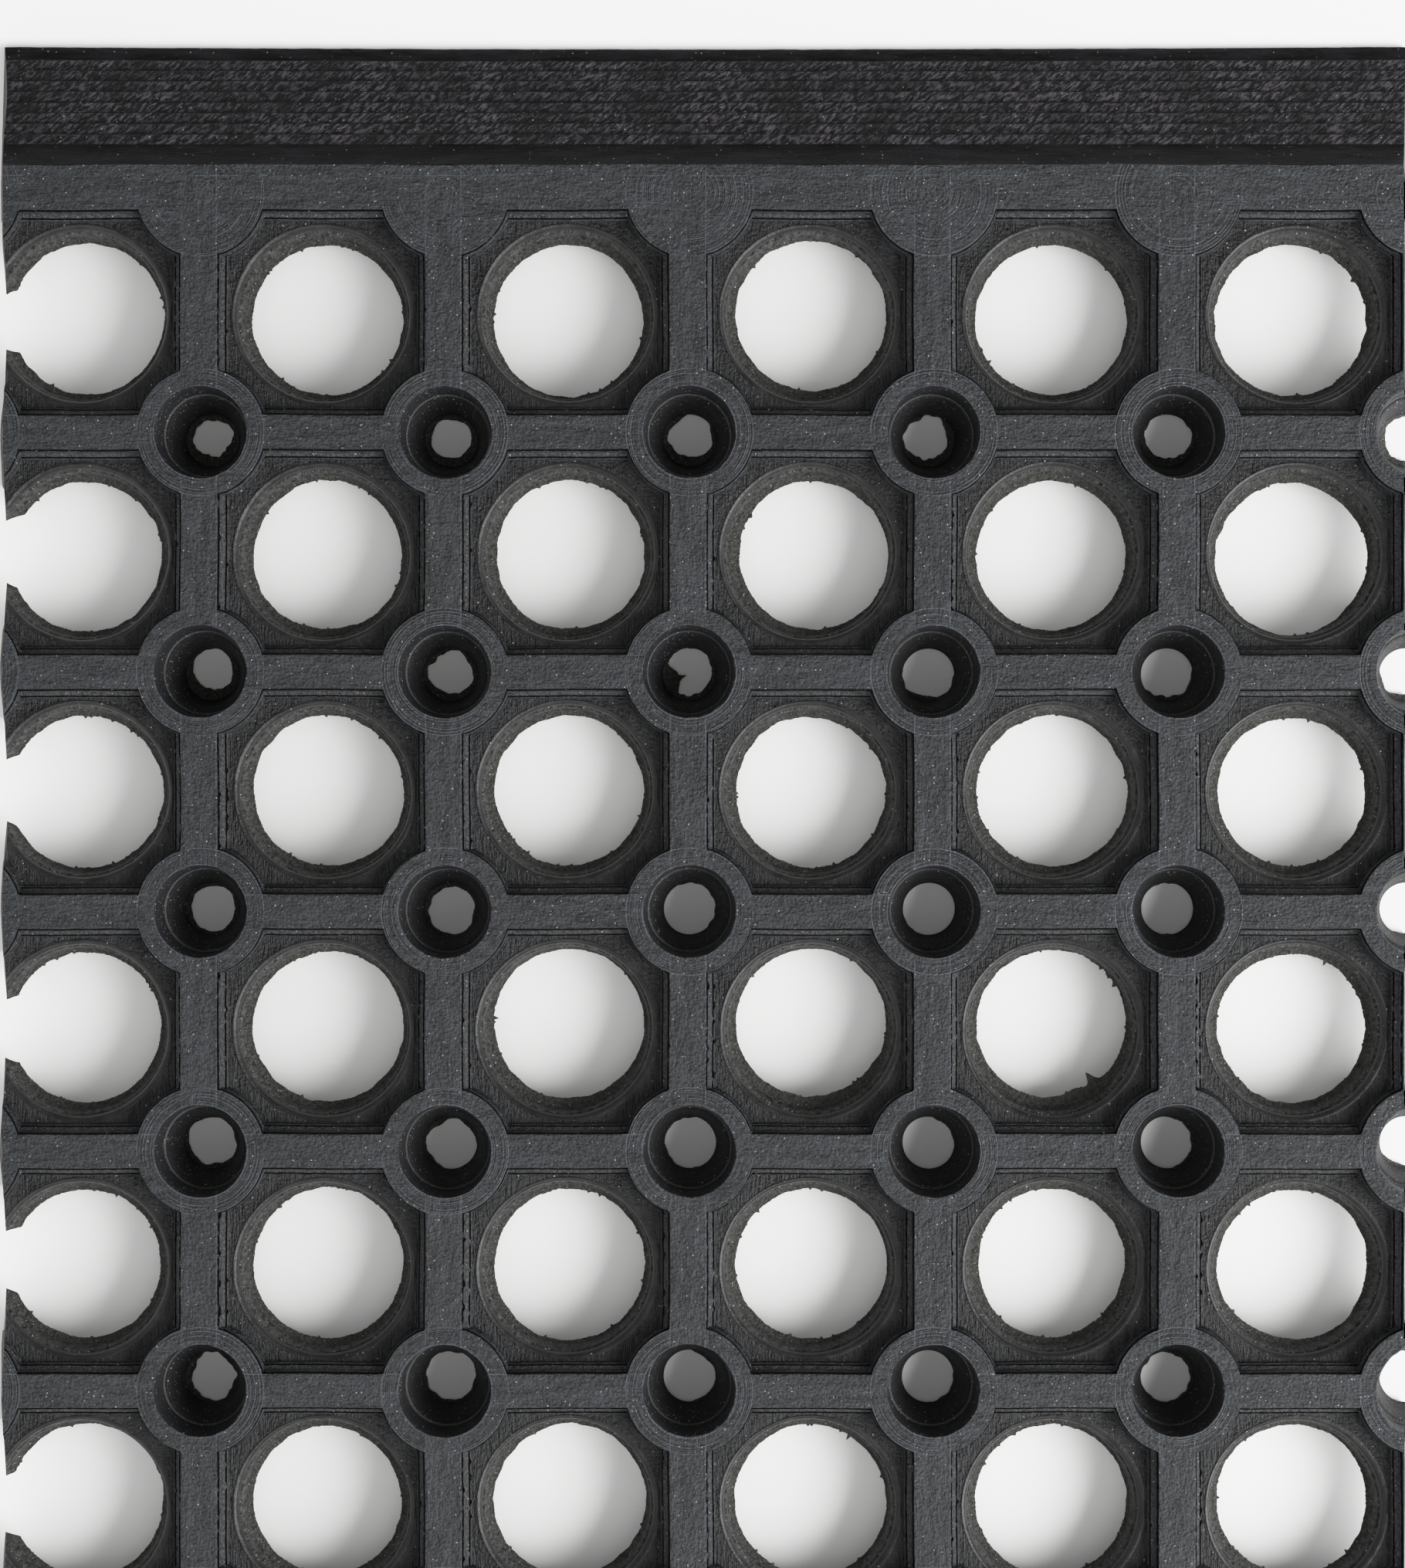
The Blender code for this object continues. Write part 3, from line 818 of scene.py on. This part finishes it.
# the joints between the mould's ring inserts and its rib inserts: hair-thin raised lines, which are also
# painted lighter, a painted highlight along the edges of rings and ribs
joints_and_edge_highlights = 0.0
right_edge, left_edge = RIB_X / 2 + RIB_DRIFT - 0.15, RIB_DRIFT + 0.1 - RIB_X / 2
insert_edges = (
    (distance, RING_R - 0.12), (distance, MOUTH_R + 0.35),
    (ring_dx, right_edge), (ring_dx, left_edge), (ring_dy, RIB_Y / 2),
)
for field, at in insert_edges:
    off = add(tree, "ShaderNodeMath", {0: field, 1: at, 2: 0.17}, operation="COMPARE")
    joints_and_edge_highlights = add(tree, "ShaderNodeMath", {0: off, 1: joints_and_edge_highlights}, operation="MAXIMUM")
near_disc = add(tree, "ShaderNodeMath", {0: distance, 1: RING_R + 1.5}, operation="LESS_THAN")
joints_and_edge_highlights = add(tree, "ShaderNodeMath", {0: joints_and_edge_highlights, 1: near_disc}, operation="MULTIPLY")
joints_and_edge_highlights = add(tree, "ShaderNodeMath", {0: joints_and_edge_highlights, 1: patches}, operation="MULTIPLY")
# the right-hand edge of each long rib, the side the lamp lights, gets a painted highlight broken into small
# beads, and stands up in them a little
beaded_edge_highlight = add(tree, "ShaderNodeMath", {0: ring_dx, 1: right_edge, 2: 0.2}, operation="COMPARE")
beads = add(tree, "ShaderNodeTexNoise", {"Vector": place, "Scale": 1 / 0.9, "Detail": 2.0})
beads = add(tree, "ShaderNodeMapRange", {"Value": beads, "From Min": 0.4, "From Max": 0.62, "To Max": 0.9})
beaded_edge_highlight = add(tree, "ShaderNodeMath", {0: beaded_edge_highlight, 1: beads}, operation="MULTIPLY")
joints_and_edge_highlights = add(tree, "ShaderNodeMath", {0: joints_and_edge_highlights, 1: beaded_edge_highlight}, operation="MAXIMUM")
joint_line = add(tree, "ShaderNodeMath", {0: joints_and_edge_highlights, 1: 0.15}, operation="MULTIPLY")
# streaks run along each rib: stretched along Y on the ribs that cross the mat's length, else along X
beside = add(tree, "ShaderNodeMath", {0: ring_dx}, operation="ABSOLUTE")
down_rib = add(tree, "ShaderNodeMath", {0: beside, 1: RIB_X / 2 + 0.3}, operation="LESS_THAN")
fine_x = add(tree, "ShaderNodeMath", {0: down_rib, 1: 1.9, 2: 0.35}, operation="MULTIPLY_ADD")
fine_y = add(tree, "ShaderNodeMath", {0: down_rib, 1: -1.9, 2: 2.25}, operation="MULTIPLY_ADD")
stretch = add(tree, "ShaderNodeCombineXYZ", {"X": fine_x, "Y": fine_y, "Z": 1.0})
streaked = add(tree, "ShaderNodeVectorMath", {0: place, 1: stretch}, operation="MULTIPLY")
streaks = grain(tree, streaked, 1.3, 0.35, 4.0)
pebbles = grain(tree, place, 0.8, 0.6, 5.0)
swell = grain(tree, place, 3.2, 0.5, 2.0)
pits = add(tree, "ShaderNodeTexVoronoi", {"Vector": place, "Scale": 1 / 2.4})
pits = add(tree, "ShaderNodeMapRange", {
    "Value": pits, "From Min": 0.04, "From Max": 0.15, "To Min": -0.25, "To Max": 0.0,
})
height = sum_of(tree, turned, joint_line, streaks, pebbles, swell, pits)
mottle = {"Vector": streaked, "Scale": 1 / 5.0, "Detail": 7.0, "Roughness": 0.8}
mottle = add(tree, "ShaderNodeTexNoise", mottle)
shade = add(tree, "ShaderNodeMapRange", {"Value": mottle, "From Min": 0.32, "From Max": 0.68, "To Max": 0.6})
# the pebbles and streaks are painted into the colour as well, lighter where they stand high: painted shading
# of the relief
shade = add(tree, "ShaderNodeMath", {0: pebbles, 1: 1.1, 2: shade}, operation="MULTIPLY_ADD")
shade = add(tree, "ShaderNodeMath", {0: streaks, 1: 0.45, 2: shade}, operation="MULTIPLY_ADD")
# the painted edge highlights of the joints and beads, and the turned marks, lighten it further
tone_with_painted_light = add(tree, "ShaderNodeMath", {0: joints_and_edge_highlights, 1: 0.9, 2: shade}, operation="MULTIPLY_ADD")
tone_with_painted_light = add(tree, "ShaderNodeMath", {0: turned, 1: 4.5, 2: tone_with_painted_light}, operation="MULTIPLY_ADD", use_clamp=True)
finish_rubber(tree, shader, height, tone_with_painted_light, "#030405", "#3b3f44", dust_specks(tree, place, 1.3, 0.5))

# The web, sunk 5 mm below the ribs: cleaner and smoother than the treads, with tool streaks along Y and a
# few folds where the rubber flowed together late.
tree, shader, place = start_rubber("web", 0.52, 0.35)
streaked = add(tree, "ShaderNodeVectorMath", {0: place, 1: (2.2, 0.3, 1)}, operation="MULTIPLY")
folds = {"Vector": place, "Scale": 1 / 11.0, "Detail": 2.0, "Distortion": 1.2}
folds = add(tree, "ShaderNodeTexNoise", folds)
folds = add(tree, "ShaderNodeMath", {0: folds, 1: 0.5, 2: 0.006}, operation="COMPARE")
folds = add(tree, "ShaderNodeMath", {0: folds, 1: -0.15}, operation="MULTIPLY")
streaks = grain(tree, streaked, 1.3, 0.5)
pebbles = grain(tree, place, 0.9, 0.4)
swell = grain(tree, place, 3.0, 0.4)
height = sum_of(tree, streaks, pebbles, swell, folds)
mottle = {"Vector": streaked, "Scale": 1 / 2.5, "Detail": 6.0, "Roughness": 0.75}
mottle = add(tree, "ShaderNodeTexNoise", mottle)
shade = add(tree, "ShaderNodeMapRange", {"Value": mottle, "From Min": 0.36, "From Max": 0.66})
finish_rubber(tree, shader, height, shade, "#020202", "#1f2022", dust_specks(tree, place, 1.7, 0.4))

# The stepped wall round each recess: the mould's inserts met here, so every edge is a little beaded.
tree, shader, place = start_rubber("wall", 0.5, 0.4)
height = sum_of(tree, grain(tree, place, 0.6, 0.3), grain(tree, place, 1.4, 0.4))
mottle = add(tree, "ShaderNodeTexNoise", {"Vector": place, "Scale": 1 / 0.9, "Detail": 4.0, "Roughness": 0.7})
shade = add(tree, "ShaderNodeMapRange", {"Value": mottle, "From Min": 0.35, "From Max": 0.65})
finish_rubber(tree, shader, height, shade, "#020202", "#343538", dust_specks(tree, place, 1.2, 0.5))

# The two grooves in that wall, left by fins on the inserts: clean, and painted near-black, a painted shade
# for grooves too deep for any light to reach.
tree, shader, place = start_rubber("groove", 0.5, 0.3)
mottle = add(tree, "ShaderNodeTexNoise", {"Vector": place, "Scale": 1 / 2.0, "Detail": 4.0, "Roughness": 0.6})
height = grain(tree, place, 0.8, 0.1)
finish_rubber(tree, shader, height, mottle, "#020202", "#0a0a0b", dust_specks(tree, place, 1.2, 0.3))

# The rounded edge of each hole: the smoothest of the moulding, bloomed to a dull warm grey.
tree, shader, place = start_rubber("bullnose", 0.38, 0.28)
height = sum_of(tree, grain(tree, place, 0.5, 0.07), grain(tree, place, 2.2, 0.12))
mottle = add(tree, "ShaderNodeTexNoise", {"Vector": place, "Scale": 1 / 5.0, "Detail": 6.0, "Roughness": 0.7})
shade = add(tree, "ShaderNodeMapRange", {"Value": mottle, "From Min": 0.3, "From Max": 0.7})
finish_rubber(tree, shader, height, shade, "#080808", "#242424", dust_specks(tree, place, 1.6, 0.3))

# The wall of each hole below it: dragged against the mould as it was pulled out, so scuffed and crumbly.
tree, shader, place = start_rubber("bore", 0.6, 0.25)
flat = add(tree, "ShaderNodeVectorMath", {0: place, 1: (1, 1, 0.45)}, operation="MULTIPLY")
height = sum_of(tree, grain(tree, flat, 0.7, 0.6, 4.0), grain(tree, flat, 1.6, 0.5))
mottle = add(tree, "ShaderNodeTexNoise", {"Vector": flat, "Scale": 1 / 1.2, "Detail": 5.0, "Roughness": 0.75})
shade = add(tree, "ShaderNodeMapRange", {"Value": mottle, "From Min": 0.35, "From Max": 0.68})
finish_rubber(tree, shader, height, shade, "#080808", "#4c4c4b", dust_specks(tree, place, 0.9, 0.5))

# Torn rubber, where the flash was pulled out of the holes and drains: a matt, brownish, crumbly break.
tree, shader, place = start_rubber("torn", 0.8)
height = sum_of(tree, grain(tree, place, 0.7, 0.6, 4.0), grain(tree, place, 1.6, 0.5))
mottle = {"Vector": place, "Scale": 1 / 0.9, "Detail": 5.0, "Roughness": 0.75}
mottle = add(tree, "ShaderNodeTexNoise", mottle)
shade = add(tree, "ShaderNodeMapRange", {"Value": mottle, "From Min": 0.35, "From Max": 0.68})
finish_rubber(tree, shader, height, shade, "#0a0a09", "#454440", dust_specks(tree, place, 0.8, 0.4))

# The hollow of each ring: the mould's plugs were turned, which left fine rings down the wall.
tree, shader, place = start_rubber("cup", 0.55, 0.3)
parts = add(tree, "ShaderNodeSeparateXYZ", {0: place}).node.outputs
turned = {"W": parts["Z"], "Scale": 1 / 0.6, "Detail": 2.0}
turned = add(tree, "ShaderNodeTexNoise", turned, noise_dimensions="1D")
turned = add(tree, "ShaderNodeMapRange", {
    "Value": turned, "From Min": 0.35, "From Max": 0.65, "To Min": -0.04, "To Max": 0.04,
})
height = sum_of(tree, turned, grain(tree, place, 0.5, 0.2), grain(tree, place, 2.5, 0.2))
mottle = add(tree, "ShaderNodeTexNoise", {"Vector": place, "Scale": 1 / 1.5, "Detail": 5.0, "Roughness": 0.7})
# a painted highlight along the edge of the ledge half way down, where it catches the light
ledge_highlight = add(tree, "ShaderNodeMath", {0: parts["Z"], 1: 12.25, 2: 0.22}, operation="COMPARE")
ledge_highlight = add(tree, "ShaderNodeMath", {0: ledge_highlight, 1: 0.12}, operation="MULTIPLY")
pale = add(tree, "ShaderNodeMath", {0: dust_specks(tree, place, 0.9, 0.6), 1: ledge_highlight}, operation="MAXIMUM")
finish_rubber(tree, shader, height, mottle, "#030304", "#16171a", pale)

# The ramp's eight treads: short slanting raised flecks, painted lighter where they stand highest, a painted
# highlight on the flecks. They are about 0.5 mm wide, and 1.2 mm here, so that they still show.
tree, shader, place = start_rubber("ramp", 0.55, 0.2)
slanted = {"Vector": place, "Angle": radians(-40)}
slanted = add(tree, "ShaderNodeVectorRotate", slanted, rotation_type="Z_AXIS")
slanted = add(tree, "ShaderNodeVectorMath", {0: slanted, 1: (0.5, 1.4, 1)}, operation="MULTIPLY")
flecks = grain(tree, slanted, 1.2, 1.1, 4.0)
height = sum_of(tree, flecks, grain(tree, place, 0.6, 0.3), grain(tree, place, 2.4, 0.4))
fleck_highlight = add(tree, "ShaderNodeMapRange", {"Value": flecks, "From Min": -0.08, "From Max": 0.3, "To Max": 1.0})
where = add(tree, "ShaderNodeTexNoise", {"Vector": place, "Scale": 1 / 14.0, "Detail": 2.0})
where = add(tree, "ShaderNodeMapRange", {"Value": where, "From Min": 0.35, "From Max": 0.6, "To Min": 0.35})
shade = add(tree, "ShaderNodeMath", {0: fleck_highlight, 1: where}, operation="MULTIPLY")
finish_rubber(tree, shader, height, shade, "#030203", "#4a474d", dust_specks(tree, place, 1.4, 0.5))

# The ramp's lip and the slope above its treads: smoother than the treads, and painted darker, a painted shade
# for faces that turn away from the light.
tree, shader, place = start_rubber("shaded_ramp_slope", 0.5, 0.12)
drawn = add(tree, "ShaderNodeVectorMath", {0: place, 1: (0.2, 1, 1)}, operation="MULTIPLY")
drag = grain(tree, drawn, 0.8, 0.12)
pebbles = grain(tree, place, 0.4, 0.08)
swell = grain(tree, place, 5.0, 0.2)
height = sum_of(tree, drag, pebbles, swell)
mottle = add(tree, "ShaderNodeTexNoise", {"Vector": drawn, "Scale": 1 / 3.0, "Detail": 5.0, "Roughness": 0.6})
shade = add(tree, "ShaderNodeMapRange", {"Value": mottle, "From Min": 0.4, "From Max": 0.65})
finish_rubber(tree, shader, height, shade, "#010101", "#161317", dust_specks(tree, place, 1.4, 0.5))

# The underside and the feet: plain moulded rubber with the dull bloom of mould release.
tree, shader, place = start_rubber("underside", 0.68)
height = sum_of(tree, grain(tree, place, 0.5, 0.08), grain(tree, place, 3.5, 0.15))
mottle = {"Vector": place, "Scale": 1 / 12.0, "Detail": 6.0, "Roughness": 0.65}
mottle = add(tree, "ShaderNodeTexNoise", mottle)
finish_rubber(tree, shader, height, mottle, "#1d1d1e", "#2b2b2c", dust_specks(tree, place, 2.2, 0.3))

# The knife-cut sides: dull rubber drawn into fine lines along the cut, and paler than the moulded skin.
tree, shader, place = start_rubber("knife_cut", 0.75)
drawn = add(tree, "ShaderNodeVectorMath", {0: place, 1: (1, 0.12, 1.6)}, operation="MULTIPLY")
height = sum_of(tree, grain(tree, drawn, 0.6, 0.14), grain(tree, place, 0.35, 0.08))
mottle = add(tree, "ShaderNodeTexNoise", {"Vector": drawn, "Scale": 1 / 1.2, "Detail": 5.0, "Roughness": 0.7})
finish_rubber(tree, shader, height, mottle, "#343330", "#55534e", dust_specks(tree, place, 1.0, 0.3))

# ------------------------------------------------------------------------------------------ studio
# A plain pale floor, one very large soft light low on the right, and a camera straight above the mat. The
# tone curve rolls off the highlights as a print does, so the floor stays pale and the holes keep their shade.
bpy.ops.object.select_all(action="DESELECT")
bpy.ops.mesh.primitive_plane_add(size=6)
floor = bpy.context.object
floor.name = "studio_floor"
paper = bpy.data.materials.new("matt_white_paper")
paper.use_nodes = True
sheet = paper.node_tree.nodes["Principled BSDF"].inputs
sheet["Base Color"].default_value = linear("#ededec")
sheet["Roughness"].default_value = 0.9
sheet["Specular IOR Level"].default_value = 0.2
floor.data.materials.append(paper)

lamp_data = bpy.data.lights.new("softbox", "AREA")
lamp_data.shape = "SQUARE"
lamp_data.size = 1.15
lamp_data.energy = 35
lamp = bpy.data.objects.new("softbox", lamp_data)
lamp.location = (1.27, -0.53, 0.82)
lamp.rotation_euler = (Vector((0, 0, 0)) - lamp.location).to_track_quat("-Z", "Y").to_euler()
bpy.context.scene.collection.objects.link(lamp)

world = bpy.data.worlds.new("studio")
world.use_nodes = True
sky = world.node_tree
towards = add(sky, "ShaderNodeTexCoord", output="Generated")
# the room is darker beyond the front edge than behind the rear one
sides = {0: towards, 1: (0, -0.6, 0)}
sides = add(sky, "ShaderNodeVectorMath", sides, output="Value", operation="DOT_PRODUCT")
sides = add(sky, "ShaderNodeMath", {0: sides, 1: 0.85}, operation="ADD")
upward = add(sky, "ShaderNodeSeparateXYZ", {0: towards}, output="Z")
# the camera and its stand hide the middle of the ceiling
glow = add(sky, "ShaderNodeMapRange", {
    "Value": upward, "From Min": 0.65, "From Max": 0.97, "To Min": 0.78, "To Max": 0.23,
})
glow = add(sky, "ShaderNodeMath", {0: glow, 1: sides}, operation="MULTIPLY")
sky.links.new(glow, sky.nodes["Background"].inputs["Strength"])
sky.nodes["Background"].inputs["Color"].default_value = (1, 1, 1, 1)
bpy.context.scene.world = world
view = bpy.context.scene.view_settings
view.view_transform = "Standard"
view.use_curve_mapping = True
tones = view.curve_mapping.curves[3]
for scene_value, print_value in ((0.1, 0.2), (0.225, 0.45), (0.4, 0.68), (0.55, 0.80), (0.75, 0.895)):
    tones.points.new(scene_value, print_value)
tones.points[len(tones.points) - 1].location = (1.0, 0.93)
view.curve_mapping.update()

camera_data = bpy.data.cameras.new("camera")
camera_data.sensor_fit = "VERTICAL"
camera_data.sensor_height = 36.0
camera_data.lens = 63.0
camera = bpy.data.objects.new("camera", camera_data)
camera.location = (0.0, 0.0365, 0.807)
bpy.context.scene.collection.objects.link(camera)
bpy.context.scene.camera = camera
